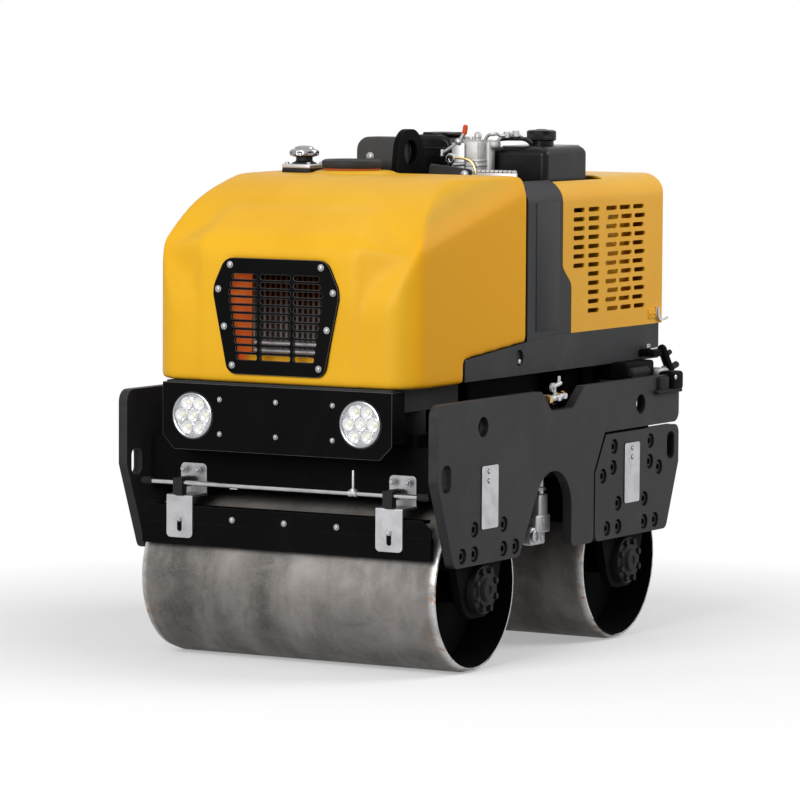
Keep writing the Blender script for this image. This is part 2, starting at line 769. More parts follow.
spots = []
for side in (-1, 1):
    for lean in (-1, 1):
        for away, rise in LOBE:
            spots.append(pocket(side, FRONT_AXLE, FRONT_SHIFT + lean * away, AXLE_UP + rise))
            spots.append(pocket(side, REAR_AXLE, lean * away, AXLE_UP + rise))
        for shift, away, height in REAR_EXTRA:
            spots.append(pocket(side, REAR_AXLE, shift + lean * away, height))
screw = turned("screw", [(15.5, -0.5), (15.5, 8.5), (14.5, 9.5), (8.4, 9.5), (8.0, 4.0)], 24)
OXIDE = powder_coat("black oxide", (0.010, 0.010, 0.011), 0.34, 0.05)
fit(stamped("plate_screws", coated(screw, OXIDE), spots), "frame", None, "black_paint")
print("socket screws:", len(spots))

# %% [markdown]
# ## Hubs
# The drum's axle ends in a round flange with a ring of bolts, deep in the shade of the drum's end. A
# turned flange with eight hexagon heads and a middle cap stands for the plain CAD discs.

# %% Hub flanges
IRON = powder_coat("hub iron", (0.008, 0.008, 0.009), 0.42, 0.05, 0.10)
HUB_DEPTH, HUB_FACE, HUB_RING, HUB_BOLTS = 34, 20, 52, 8
hub_out = high("hub_covers").x
hubs = []
for side in (-1, 1):
    out = Vector((side, 0, 0))
    for axle in (FRONT_AXLE, REAR_AXLE):
        foot = Vector((side * (hub_out - HUB_DEPTH * MM), axle.y, axle.z))
        flange = turned("flange", [(62, 0), (62, 18), (60, 20), (44, 20), (42, 24), (30, 25), (28, 31),
                                   (26, 33), (12, 33), (10, 30)], 40)
        hubs.append(lay(flange, foot, out))
        for step in range(HUB_BOLTS):
            turn = (step + 0.5) * 2 * math.pi / HUB_BOLTS
            ring_place = Vector((0, math.cos(turn), math.sin(turn))) * HUB_RING * MM
            spot = foot + out * (HUB_FACE * MM) + ring_place
            hubs.append(lay(turned("hex", [(8.6, -1), (8.6, 8), (7.2, 9)], 6), spot, out))
for piece in hubs:
    paint(piece, IRON)
fit(joined("hub_flanges", hubs), "frame", None, "black_paint", "hub_covers")
print("hub flanges: 4")

# %% [markdown]
# ## Filler lid
# The tank's filler has a wide dark screw lid with a fluted rim on an orange gasket, over a low boss of the
# cowl. Fluting is made by insetting every rim face of the turned lid on its own, a little outwards.

# %% Filler lid
GASKET = moulded_black("lid gasket", (0.42, 0.075, 0.012), 0.5)
LID = moulded_black("lid plastic", (0.024, 0.024, 0.025), 0.50)
lid_mid = middle("filler_lid")
lid_low = low("filler_lid").z
LID_LESS = 8
LID_R = (high("filler_lid").x - low("filler_lid").x) / 2 / MM - LID_LESS
lid = turned("lid", [(LID_R - 14, 0), (LID_R - 14, 4), (LID_R - 5, 5), (LID_R - 1, 20), (LID_R - 3, 25),
                     (LID_R - 9, 28), (LID_R - 20, 27), (LID_R - 24, 24.5), (24, 24.5), (20, 26.5),
                     (8, 27)], 56)
pick(lid, lambda mid, out: abs(out.z) < 0.4 and mid.xy.length > (LID_R - 4) * MM)
bpy.ops.mesh.inset(thickness=0.0016, depth=0.0014, use_individual=True)
bpy.ops.object.mode_set(mode="OBJECT")
lid_place = Vector((lid_mid.x - LID_LESS * MM, lid_mid.y, lid_low))
lay(coated(lid, LID), lid_place)
boss = turned("filler_boss", [(LID_R + 26, -14), (LID_R + 18, -9.6), (LID_R + 9, -5), (LID_R + 4, -1),
                              (LID_R - 8, 0.2)], 56)
fit(lay(boss, lid_place), "frame", COWL, "yellow_plastic")
ring = fitting("gasket", [(LID_R - 10, -0.4), (LID_R - 5, 1), (LID_R - 5, 4.6), (LID_R - 10, 5)], 56,
               GASKET, lid_place)
fit(joined("filler_cap", [lid, ring]), "frame", None, "black_plastic", "filler_lid")
print("lid radius", LID_R)

# %% [markdown]
# ## Breather
# Beside the lid a small bright breather cap with grip hollows stands on a square bolted flange with a
# black seat. The hollows are groups of rim faces that one inset pushes inwards together.

# %% Breather
DARK_STEEL = metal("bright cap", (0.33, 0.33, 0.345), 0.20, 120.0)
vent_mid = middle("breather_cap")
vent_low = low("breather_flange")
vent_top = high("breather_flange").z
flange_h = (vent_top - vent_low.z) / MM
vent_foot = Vector((vent_mid.x, vent_mid.y, vent_low.z))
FLANGE, SEAT_SHARE, BASE_SHARE = 43.0, 0.38, 0.80


def flange_plate(name, z0, z1, soft, material):
    """A square plate of the flange, between two heights above its foot."""
    corner = Vector((FLANGE, FLANGE, 0)) * MM
    plate = bar(name, vent_foot - corner + UP * (z0 * MM), vent_foot + corner + UP * (z1 * MM), soft, 3)
    return coated(plate, material)


lugs = [flange_plate("seat", 0, flange_h * SEAT_SHARE, 2.0, PLASTIC),
        flange_plate("base", flange_h * SEAT_SHARE, flange_h * BASE_SHARE, 3.0, ALUMINIUM),
        fitting("neck", [(32, flange_h * 0.7), (32, flange_h * 0.9), (25, flange_h), (22, flange_h + 3),
                         (22, flange_h + 13)], 36, PLASTIC, vent_foot)]
for x in (-1, 1):
    for y in (-1, 1):
        spot = vent_foot + Vector((x * 33, y * 33, flange_h * BASE_SHARE)) * MM
        lugs.append(fitting("stud", [(6, -1), (6, 3.5), (4.6, 5)], 6, ZINC, spot))
fit(joined("breather_base", lugs), "frame", None, "aluminium", "breather_flange")
cap_low = low("breather_cap").z
cap = turned("cap", [(17, 10), (19, 11), (26, 12), (37.5, 16), (39, 19), (39, 26), (37, 30), (30, 33),
                     (26, 34), (24, 38), (16, 41), (6, 42)], 48)
pick(cap, lambda mid, out: abs(out.z) < 0.3 and mid.xy.length > 36 * MM and in_turn(mid, 45))
bpy.ops.mesh.inset(thickness=0.0008, depth=-0.004, use_individual=False)
bpy.ops.object.mode_set(mode="OBJECT")
lay(cap, Vector((vent_mid.x, vent_mid.y, cap_low)))
fit(cap, "frame", DARK_STEEL, "chrome", "breather_cap")
print("flange height", flange_h)

# %% [markdown]
# ## Spray rod
# A bright rod carries the water along the drum, held by two black clips; a bright tee with a thin stem
# feeds it from above, and short rubber sleeves close its ends.

# %% Rod fittings
rod_low, rod_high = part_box("spray_rods")
ROD_Z = middle("spray_rods").z
STRAP_X = 311 * MM
ROD_R, TEE_X, STEM_X = 6.5, 194, 206
fittings = []
for y, out in ((rod_low.y + ROD_R * MM, FRONT), (rod_high.y - ROD_R * MM, BACK)):
    for side in (-1, 1):
        rod_end = Vector((side * (rod_high.x - 1 * MM), y, ROD_Z))
        fittings.append(fitting("sleeve", [(8, 0), (9.4, 1.5), (9.4, 24), (8.6, 25), (8.6, 30), (7, 31)], 20,
                                RUBBER, rod_end, (-side, 0, 0)))
    fittings.append(fitting("tee", [(8.5, 0), (9.5, 1), (9.5, 6), (8.4, 7), (8.4, 17), (9.5, 18), (9.5, 23),
                                    (8.5, 24)], 24, ZINC, Vector((TEE_X * MM, y, ROD_Z)), LEFT))
    fittings.append(fitting("stem", [(8.5, 0), (8.5, 9), (7.5, 12), (3.6, 13), (3.6, 56), (2.6, 58.5)], 20,
                            ZINC, Vector((STEM_X * MM, y, ROD_Z))))
    near, far = sorted((y - out.y * 8 * MM, y - out.y * 58 * MM))
    for side in (-1, 1):
        arm = bar("arm", Vector((side * STRAP_X - 13 * MM, near, ROD_Z - 12 * MM)),
                  Vector((side * STRAP_X + 13 * MM, far, ROD_Z + 13 * MM)), 3.0)
        fittings.append(coated(arm, PLASTIC))
fit(joined("spray_fittings", fittings), "frame", None, "black_plastic")
soften("spray_clips", 2.0, PLASTIC, "black_plastic")
print("spray fittings:", len(fittings))

# %% [markdown]
# ## Straps' bolts
# Each scraper hangs on two bright straps. A hexagon bolt with a washer sits in the strap's slot, so the
# scraper can be set nearer to the drum, and two more hold the strap's back plate.

# %% Hexagon bolts on the straps
def hexagon(r):
    head = turned("hex", [(r, 1.8), (r, r * 0.9), (r * 0.86, r * 1.05)], 6)
    washer = turned("washer", [(r * 1.35, -0.6), (r * 1.35, 1.6), (r * 1.28, 2.0), (r * 0.7, 2.0)], 24)
    return joined("bolt", [coated(head, ZINC), coated(washer, ZINC)])


SLOT_UP, BACK_IN, BACK_UP, BACK_APART = 50, 55, 30, 22
strap_low, strap_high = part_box("scraper_straps")
spots = []
for face, out in ((strap_low.y, FRONT), (strap_high.y, BACK)):
    back_face = face - out.y * BACK_IN * MM
    for side in (-1, 1):
        spots.append((Vector((side * STRAP_X, face, strap_low.z + SLOT_UP * MM)), out))
        for lean in (-BACK_APART, BACK_APART):
            spots.append((Vector((side * STRAP_X + lean * MM, back_face, ROD_Z + BACK_UP * MM)), out))
fit(stamped("strap_bolts", hexagon(6.5), spots), "frame", None, "zinc_steel")
print("strap bolts:", len(spots))

# %% [markdown]
# ## Rods and mirror copies
# Two more helpers for the small pieces: a straight rod with rounded ends between two places, and a
# mirror copy for what stands on both sides of the machine. The mirror turns a mesh inside out, so its
# normals are flipped back.

# %% Rods and mirror copies
def rod(name, start, end, radius, material, sides=16):
    """A straight rod with rounded ends between two places."""
    length = (end - start).length / MM
    piece = turned(name, [(radius * 0.6, 0), (radius, radius * 0.5), (radius, length - radius * 0.5),
                          (radius * 0.6, length)], sides)
    return lay(coated(piece, material), start, end - start)


def mirrored(piece):
    """A copy on the other side of the machine."""
    copy = twin(piece)
    edit(copy, lambda: bpy.ops.transform.resize(value=(-1, 1, 1), center_override=(0, 0, 0)),
         lambda: bpy.ops.mesh.flip_normals())
    return copy


print("rods and mirrors ready")

# %% [markdown]
# ## Lever and linkage
# Through the opening of the hood one sees the top of the engine. Its stop lever is a bent bright bar
# with a red tip; below it a ring holds the end of a thin golden pipe. They are rods, a turned ring and
# a bent pipe, all standing on the front of the cylinder head.

# %% Lever and linkage
RED = moulded_black("red tip", (0.62, 0.075, 0.010), 0.35)
GOLD = metal("golden pipe", (0.80, 0.56, 0.24), 0.25)
lever = [
    rod("link", at(64, 80, 1297), at(118, 80, 1330), 4.6, ZINC),
    rod("arm", at(114, 80, 1325), at(131, 80, 1353), 5.6, ZINC),
    rod("tip", at(130, 80, 1347), at(134, 80, 1373), 6.6, RED),
    rod("fork", at(63, 80, 1288), at(64, 80, 1307), 5.0, ZINC),
    coated(bar("web", at(92, 77, 1240), at(132, 88, 1326), 4.0), ALUMINIUM),
    rod("stub", at(98, 78, 1268), at(134, 78, 1271), 6.0, ZINC),
    fitting("pivot", [(9, 0), (9, 6), (6, 9), (3, 10)], 20, ZINC, at(115, 78, 1329), FRONT),
    fitting("ring", [(14, 0), (14, 9), (12.5, 11), (9, 11), (8, 3)], 28, CHROME, at(92, 80, 1284), FRONT),
    fitting("bore", [(7, 2), (7, 4), (5, 4.2)], 20, RUBBER, at(92, 80, 1284), FRONT),
    coated(pipe("thin pipe", [at(100, 74, 1287), at(139, 74, 1286), at(158, 74, 1277), at(166, 74, 1260),
                              at(172, 74, 1240), at(176, 74, 1180)], 3.2), GOLD),
]
fit(joined("stop_lever", lever), "frame", None, "zinc_steel")
print("lever parts:", len(lever))

# %% [markdown]
# ## Covers and pipes on the engine
# A low dark cover fills the front of the opening. Behind it stands the cylinder head, a ribbed casting
# of soft bars, and the fuel pipes run over it in a few tight bends and on behind the fuel tank.

# %% Covers and pipes on the engine
lid_plate = bar("plate", Vector((-63, -8, -112)) * MM, Vector((63, 8, 12)) * MM, 6.0, 3)
lay(lid_plate, at(137, -6, 1254), (0.10, 0, 1))
cover = joined("front_cover", [lid_plate, bar("box", at(76, -4, 1150), at(146, 72, 1258), 7.0, 3)])
fit(cover, "frame", PLASTIC, "black_plastic")
head = [bar("casting", at(100, 85, 1150), at(170, 148, 1282), 7.0, 3),
        bar("upper", at(110, 86, 1270), at(170, 147, 1334), 9.0, 3),
        bar("gasket", at(97, 83, 1276), at(173, 150, 1283), 2.0),
        bar("side casting", at(158, 126, 1170), at(183, 157, 1334), 9.0, 3),
        bar("elbow", at(172, 128, 1310), at(200, 157, 1333), 8.0, 3)]
for step in range(5):
    head.append(bar("fin", at(104, 81, 1196 + step * 17), at(174, 152, 1202 + step * 17), 1.5))
head.append(lay(turned("boss", [(8, -52), (8, 6), (10, 8), (10, 16), (7, 21), (3, 23)], 20),
                at(160, 100, 1332)))
fit(joined("cylinder_head", head), "frame", HEAD, "engine_grey", "engine_head")
HOSE = moulded_black("black pipe", (0.010, 0.010, 0.010), 0.35, 0.3)
pipes = [
    coated(pipe("return pipe", [at(164, 152, 1293), at(174, 152, 1306), at(185, 152, 1322),
                                at(200, 152, 1341), at(220, 155, 1350), at(238, 165, 1352),
                                at(251, 185, 1341)], 5.2), ALUMINIUM),
    coated(pipe("feed pipe", [at(170, 120, 1333), at(182, 120, 1352), at(194, 120, 1344),
                              at(205, 122, 1355), at(209, 130, 1341), at(219, 150, 1348)], 4.4), ZINC),
    coated(pipe("vent pipe", [at(185, 175, 1335), at(207, 178, 1338), at(236, 180, 1336),
                              at(257, 185, 1339), at(264, 200, 1325)], 6.5), HOSE),
    rod("lower pipe", at(168, 75, 1254), at(216, 75, 1251), 3.4, ZINC),
    rod("lower pipe", at(170, 75, 1246), at(216, 75, 1243), 3.4, ZINC),
]
for place in (at(238, 165, 1349), at(218, 152, 1346)):
    pipes.append(fitting("nut", [(9, -6), (9, 8), (8, 9)], 6, ZINC, place))
for step in range(2):
    pipes.append(fitting("head nut", [(7.5, -1), (7.5, 6), (6.6, 7.5)], 6, ZINC,
                         at(120 + step * 20, 118, 1334)))
fit(joined("engine_pipes", pipes), "frame", None, "aluminium")
print("head and pipe parts:", len(head) + len(pipes))

# %% [markdown]
# ## Air filter
# The filter's housing has a lip round it, two flat catches on top and a round inlet canister towards the
# right side.

# %% Air filter
INLET_Z = 1.262
filter_low, filter_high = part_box("air_filter")
inlet = turned("inlet", [(56, 0), (62, 4), (62, 60), (64, 62), (64, 70), (60, 72), (60, 104), (50, 110)], 40)
lay(inlet, Vector((filter_low.x + 10 * MM, middle("air_filter").y, INLET_Z)), RIGHT)
lip = bar("lip", Vector((filter_low.x - 3 * MM, filter_low.y - 3 * MM, filter_high.z - 40 * MM)),
          Vector((filter_high.x + 3 * MM, filter_high.y + 3 * MM, filter_high.z - 33 * MM)), 2.0)
clips = [lip, inlet]
for x0, x1 in ((-62, -18), (-6, 22)):
    clips.append(bar("clip", Vector((x0 * MM, filter_low.y + 12 * MM, filter_high.z - 3 * MM)),
                     Vector((x1 * MM, filter_high.y - 12 * MM, filter_high.z + 6 * MM)), 3.0))
for piece in clips:
    paint(piece, GLOSSY)
fit(joined("filter_trim", clips), "frame", None, "black_plastic")
print("filter parts:", len(clips))

# %% [markdown]
# ## Fuel cap
# The cap is the thing a hand has to grip, so its rim is deeply ribbed. It is turned, every second rim
# face is picked and pushed inwards, and the neck below stays plain. The moulded tank under it bulges
# towards the engine, so a soft shoulder is set against its side.

# %% Fuel cap
cap_mid = middle("fuel_cap")
cap_foot = low("fuel_cap").z
CAP_R = (high("fuel_cap").x - low("fuel_cap").x) / 2 / MM
fuel = turned("fuel_lid", [(33, -1), (33, 12), (CAP_R - 2, 13), (CAP_R, 15), (CAP_R, 36), (CAP_R - 2, 39),
                           (CAP_R - 8, 41), (16, 41.5), (13, 43), (5, 43)], 96)
pick(fuel, lambda mid, out: abs(out.z) < 0.2 and mid.xy.length > 36 * MM and in_turn(mid, 7.5))
bpy.ops.mesh.inset(thickness=0.0003, depth=-0.0016, use_individual=True)
bpy.ops.object.mode_set(mode="OBJECT")
lay(fuel, Vector((cap_mid.x, cap_mid.y, cap_foot)))
fit(fuel, "frame", GLOSSY, "black_plastic", "fuel_cap")
tank_low, tank_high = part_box("fuel_tank")
shoulder = bar("tank_shoulder", Vector((tank_low.x - 14 * MM, tank_low.y + 0.6 * MM, tank_low.z - 20 * MM)),
               Vector((tank_high.x - 60 * MM, tank_high.y - 30 * MM, tank_high.z - 3 * MM)), 20.0, 5)
fit(shoulder, "frame", GLOSSY, "black_plastic")
print("fuel cap radius", CAP_R)

# %% [markdown]
# ## Piano hinge
# Between the cowl and the opening lies a bright piano hinge: a narrow leaf with a row of rolled
# knuckles. One knuckle is turned and copied along the leaf. Two button heads beside it hold the lifting
# post and the front cover.

# %% Piano hinge
hinge_y = high("water_tank").y
HINGE_FROM, HINGE_TO, KNUCKLES = 236.0, 352.0, 9
LEAF_LOW, LEAF_TOP, KNUCKLE_Z = 1.214, 1.253, 1.256
pitch = (HINGE_TO - HINGE_FROM) / KNUCKLES
leaf = coated(bar("leaf", Vector((HINGE_FROM * MM, hinge_y - 6 * MM, LEAF_LOW)),
                  Vector((HINGE_TO * MM, hinge_y + 3 * MM, LEAF_TOP)), 1.0), ZINC)
knuckle = turned("knuckle", [(4.0, 0), (4.6, 0.8), (4.6, pitch - 3.0), (4.0, pitch - 2.2)], 16)
paint(knuckle, ZINC)
row = [(Vector(((HINGE_FROM + step * pitch) * MM, hinge_y - 1 * MM, KNUCKLE_Z)), LEFT)
       for step in range(KNUCKLES)]
hinge = joined("piano_hinge", [leaf, stamped("knuckles", knuckle, row)])
fit(hinge, "frame", None, "zinc_steel")
post_face = low("lifting_post").y
spots = [(Vector((-95 * MM, post_face, 1.288)), FRONT), (at(184, -14, 1246), FRONT)]
fit(stamped("engine_bolts", button(9.0), spots), "frame", None, "zinc_steel")
print("hinge knuckles:", KNUCKLES)

# %% [markdown]
# ## Grille
# The grille is a black plate with round corners and three columns of round-ended slots, whose outer ends
# follow the plate's edge. The plate starts as a filled circle of six points that are pulled to its
# corners; a vertex bevel rounds them and an extrusion gives the thickness. One joined set of soft bars
# is then cut out of it with a Boolean modifier, which keeps every slot in one step.

# %% Grille
GRILLE_CORNERS = ((-142, 752), (142, 752), (188, 966), (150, 1046), (-150, 1046), (-188, 966))
GRILLE_THICK = (high("front_grille").y - grille_face) / MM
SLOT_ROWS, SLOT_TOP, SLOT_PITCH, SLOT_H = 11, 999.5, 20.4, 13.6
MIDDLE_END, SIDE_START, SIDE_END, WIDEST_ROW = 44, 54, 139, 2.2
TOP_ROWS, TOP_TAPER, LOW_TAPER = 2, 5.0, 3.2
bpy.ops.object.select_all(action="DESELECT")
bpy.ops.mesh.primitive_circle_add(vertices=6, radius=0.1, fill_type="NGON")
grille = bpy.context.object
for vertex, (x, z) in zip(grille.data.vertices, GRILLE_CORNERS):
    vertex.co = (x * MM, grille_face, z * MM)
edit(grille, lambda: bpy.ops.mesh.bevel(offset=0.022, segments=6, affect="VERTICES"),
     lambda: bpy.ops.mesh.extrude_region_move(TRANSFORM_OT_translate={"value": (0, GRILLE_THICK * MM, 0)}),
     lambda: bpy.ops.mesh.select_all(action="SELECT"),
     lambda: bpy.ops.mesh.normals_make_consistent(inside=False))
cutters = []
for row in range(SLOT_ROWS):
    z = SLOT_TOP - row * SLOT_PITCH
    reach = SIDE_END - abs(row - WIDEST_ROW) * (TOP_TAPER if row < TOP_ROWS else LOW_TAPER)
    for x0, x1 in ((-MIDDLE_END, MIDDLE_END), (SIDE_START, reach), (-reach, -SIDE_START)):
        cutters.append(bar("slot", Vector((x0 * MM, grille_face - 0.02, (z - SLOT_H / 2) * MM)),
                           Vector((x1 * MM, grille_face + 0.028, (z + SLOT_H / 2) * MM)), 6.0, 4))
cutter = joined("slots", cutters)
apply_modifier(grille, "BOOLEAN", object=cutter, operation="DIFFERENCE", solver="EXACT")
bpy.data.objects.remove(cutter)
grille.name = "grille"
paint(grille, BLACK)
soft_edges(grille, 0.8, angle=40.0, edge=EDGE)
fit(grille, "frame", None, "black_paint", "front_grille")
print("grille slots:", len(cutters))

# %% [markdown]
# ## Behind the grille
# Through the slots one looks into the moulded air duct: its side and floor glow orange from the light
# that comes in, and the cooler's fins stand dark behind, brown above and grey with dust below. The
# lining is a thin plate on the duct's wall and floor, with a slanting baffle on the right that guides the
# air to the cooler; two bright header bars cross the cooler's foot above an orange sill.

# %% Duct lining and cooler header
def duct_orange():
    look = Finish("duct lining")
    cloud = look.noise(30.0, 3.0)
    warm = look.blend((0.78, 0.125, 0.024), (0.84, 0.20, 0.028), cloud.between(0.35, 0.75))
    look.surface(Base_Color=warm, Roughness=0.55 + 0.1 * cloud, Emission_Color=warm)
    look.shader.inputs["Emission Strength"].default_value = 0.25
    return look.material


def cooler_fins():
    look = Finish("cooler fins")
    height = look.node("ShaderNodeSeparateXYZ", "Z", Vector=look.place)
    dust = look.noise(60.0, 3.0)
    low_part = 1.0 - (height + 0.05 * dust).between(0.86, 0.98)
    look.surface(Base_Color=look.blend((0.050, 0.016, 0.007), (0.20, 0.18, 0.165), low_part),
                 Roughness=0.6 + 0.15 * dust, Specular_IOR_Level=0.1)
    return look.material


DUCT = duct_orange()
FINS = cooler_fins()
cooler_low, cooler_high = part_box("oil_cooler")
duct_front = low("water_tank").y + 8 * MM
lining = []
for side in (-1, 1):
    wall_x = side * (cooler_high.x - 1 * MM)
    lining.append(bar("wall", Vector((wall_x - 1.5 * MM, duct_front, cooler_low.z)),
                      Vector((wall_x + 1.5 * MM, cooler_low.y + 2 * MM, cooler_high.z)), 0.8))
lining.append(bar("floor", Vector((cooler_low.x, duct_front, cooler_low.z - 1 * MM)),
                  Vector((cooler_high.x, cooler_low.y + 2 * MM, cooler_low.z + 2 * MM)), 0.8))
baffle = bar("baffle", Vector((-0.152, duct_front - 2 * MM, cooler_low.z + 6 * MM)),
             Vector((-0.148, cooler_low.y - 2 * MM, cooler_high.z - 6 * MM)), 0.8)
pick(baffle, lambda mid, out: mid.y > cooler_low.y - 4 * MM)
bpy.ops.transform.translate(value=(0.040, 0, 0))
bpy.ops.object.mode_set(mode="OBJECT")
lining.append(baffle)
lining.append(bar("sill", Vector((cooler_low.x, cooler_low.y - 16 * MM, cooler_low.z - 1 * MM)),
                  Vector((cooler_high.x, cooler_low.y + 1 * MM, cooler_low.z + 29 * MM)), 4.0, 3))
for piece in lining:
    paint(piece, COWL if piece is lining[-1] else DUCT)
header = []
for rise in (41, 61):
    near = Vector((cooler_low.x + 40 * MM, cooler_low.y - 4 * MM, cooler_low.z + rise * MM))
    header.append(rod("header", near, Vector((cooler_high.x - 4 * MM, near.y, near.z)), 7.0, ALUMINIUM))
fit(joined("duct_lining", lining + header), "frame", None, "yellow_plastic")
print("duct lined from", duct_front, "to", cooler_low.y)

# %% [markdown]
# ## Panels of the dark covers
# The cover between the cowl and the hood is two sheets: a bent roof and a side panel that stands a
# little proud of it. A thin plate with soft edges lies on each side as that panel, so its folds catch the
# light. A button head sits on each beam below.

# %% Panels of the dark covers
PANEL_FRONT, PANEL_BACK, PANEL_LOW, PANEL_TOP = 12, 137, 0.842, 1.176
BEAM_BOLT_Y, BEAM_BOLT_Z = -62, 0.767
cover_x = high("mid_covers").x
panel = coated(bar("panel", Vector((cover_x - 2 * MM, MID_Y + PANEL_FRONT * MM, PANEL_LOW)),
                   Vector((cover_x + 2.2 * MM, MID_Y + PANEL_BACK * MM, PANEL_TOP)), 1.2), BAND)
fit(joined("cover_panels", [panel, mirrored(panel)]), "frame", None, "grey_plastic")
beam_face = high("upper_frame").x - 10 * MM
beam_bolt = [(Vector((side * beam_face, MID_Y + BEAM_BOLT_Y * MM, BEAM_BOLT_Z)), Vector((side, 0, 0)))
             for side in (-1, 1)]
fit(stamped("beam_bolts", button(8.0), beam_bolt), "frame", None, "zinc_steel")
print("cover panels at", cover_x)

# %% [markdown]
# ## Water valve
# In the notch of the left plate sits the tap of the spray water: a brass nut, two bright nuts on a
# short pipe, and a wing handle that stands up. The pipe through the plate is rigid.

# %% Water valve
tap = [
    rod("inlet", at(376, 0, 667), at(452, 0, 667), 13.0, ZINC),
    rod("body", at(457, -50, 673), at(457, 44, 677), 9.0, ZINC),
    fitting("brass nut", [(13, 0), (13, 14), (11, 16)], 6, BRASS, at(459, -64, 672), BACK),
    fitting("nut", [(14, 0), (14, 13), (12, 15)], 6, CHROME, at(457, -16, 674), BACK),
    fitting("nut", [(13, 0), (13, 13), (11, 15)], 6, CHROME, at(457, 18, 677), BACK),
    rod("stem", at(459, -20, 672), at(459, -22, 702), 5.0, ZINC),
    rod("wing", at(459, -34, 703), at(459, 14, 712), 5.5, CAST),
    rod("wing tip", at(459, 2, 704), at(459, 4, 730), 4.5, CAST),
    fitting("eye", [(12, 0), (12, 6), (9, 7), (7, 6.6), (6.6, 3)], 24, CAST, at(454, -27, 702), LEFT),
]
fit(joined("water_tap", tap), "frame", None, "zinc_steel", "water_valve")
print("tap parts:", len(tap))

# %% [markdown]
# ## Drain valve between the drums
# Under the arch of the left plate hangs a cast valve block: a narrow stem from the frame, a body with a
# wide foot and a round port. Bars with soft edges and turned bosses are enough for a casting this
# small.

# %% Drain valve
drain = [
    rod("stem", at(400, 16, 414), at(400, 16, 474), 10.0, ZINC),
    fitting("collar", [(15, 0), (15, 8), (12, 10)], 6, ZINC, at(400, 16, 428)),
    coated(bar("body", at(384, -12, 340), at(414, 34, 420), 5.0, 3), ALUMINIUM),
    coated(bar("shoulder", at(380, -30, 318), at(416, 46, 366), 6.0, 3), ALUMINIUM),
    coated(bar("foot", at(382, -50, 288), at(412, 26, 336), 7.0, 3), ALUMINIUM),
    fitting("port", [(17, 0), (17, 8), (15, 10), (12, 10), (11, 2)], 24, ZINC, at(408, -36, 312), LEFT),
    fitting("bore", [(10, 1), (10, 3), (8, 3.2)], 20, RUBBER, at(408, -36, 312), LEFT),
    fitting("boss", [(9, 0), (9, 6), (7, 8)], 6, ZINC, at(412, 6, 350), LEFT),
    fitting("boss", [(8, 0), (8, 6), (6, 8)], 6, ZINC, at(410, 4, 306), LEFT),
]
fit(joined("drain_valve", drain), "frame", None, "aluminium")
print("drain valve parts:", len(drain))

# %% [markdown]
# ## Hood catches
# A bright hook holds the hood at its rear corner, on a strap that is riveted to the hood and painted with
# it. It is made once on the left and mirrored.

# %% Hood catches
CATCH_LOW, CATCH_TOP, RIVET_Z = 0.842, 0.868, 0.855
hood_x = high("engine_hood").x
catch_foot = Vector((hood_x - 1 * MM, low("hood_catches").y + 2 * MM, CATCH_LOW))
hook = [
    coated(bar("strap", catch_foot, Vector((hood_x + 2.5 * MM, MID_Y + 722 * MM, CATCH_TOP)), 1.0), HOOD),
    coated(bar("plate", Vector((hood_x + 1 * MM, MID_Y + 694 * MM, CATCH_LOW + 3 * MM)),
               Vector((hood_x + 5 * MM, MID_Y + 706 * MM, CATCH_TOP + 4 * MM)), 1.2), ZINC),
    coated(pipe("hook", [at(392, 700, 872), at(392, 700, 858), at(392, 701, 846), at(392, 707, 839),
                         at(392, 720, 837), at(392, 742, 837), at(392, 754, 841)], 3.6), CHROME),
]
for along in (660, 684):
    rivet_place = Vector((hood_x + 2.5 * MM, MID_Y + along * MM, RIVET_Z))
    hook.append(fitting("rivet", [(4, -1), (4, 1.5), (2.5, 2.6)], 16, HOOD, rivet_place, LEFT))
hook = joined("catch", hook)
fit(joined("hood_hooks", [hook, mirrored(hook)]), "frame", None, "zinc_steel", "hood_catches")
print("hood catches: 2")

# %% [markdown]
# ## Rear supports
# Behind, the upper frame is held against the plates by a strut, rubber blocks and bright nuts, again
# made on the left and mirrored. The pump and the valve block hang under the engine's deck and close the
# view below it.

# %% Rear supports
support = [
    rod("strut", at(424, 655, 770), at(432, 716, 672), 13.0, BLACK, 6),
    coated(bar("seat", at(384, 606, 690), at(448, 650, 712), 3.0), CAST),
    fitting("nut", [(15, 0), (15, 4), (12.5, 4.5), (12.5, 15), (11, 17), (7, 17), (7, 23), (5, 24)], 6,
            ZINC, at(424, 674, 690)),
    fitting("stud", [(12.5, -40), (12.5, 8), (11.5, 10), (8, 12), (4, 12.5)], 24, CHROME, at(406, 636, 753),
            FRONT),
    fitting("lock nut", [(7, 0), (7, 9), (6, 10)], 6, ZINC, at(400, 624, 766)),
    rod("upper knob", at(424, 678, 740), at(424, 712, 752), 7.0, RUBBER),
    rod("lower knob", at(428, 698, 706), at(428, 745, 716), 9.0, RUBBER),
    rod("washer", at(426, 688, 726), at(426, 696, 728), 9.0, ZINC),
    coated(bar("carrier", at(380, 600, 742), at(430, 668, 762), 4.0), BLACK),
    coated(bar("mount", at(330, 440, 688), at(430, 606, 736), 8.0, 3), BLACK),
    rod("buffer", at(431, 452, 708), at(431, 560, 709), 13.0, RUBBER, 24),
    coated(bar("pad foot", at(470, 522, 648), at(487, 664, 659), 4.0, 3), RUBBER),
    coated(bar("pad", at(470, 540, 655), at(482, 594, 693), 4.0, 3), RUBBER),
    coated(bar("end pad", at(440, 602, 654), at(488, 669, 705), 9.0, 3), BLACK),
    fitting("pad bolt", [(6.5, -1), (6.5, 2), (4, 4)], 16, ZINC, at(487, 617, 690), LEFT),
]
pump = joined("pump_block", [bar("pump", at(-250, 330, 600), at(300, 660, 736), 12.0, 3),
                             bar("valve block", at(-290, -180, 620), at(290, 170, 738), 10.0, 3)])
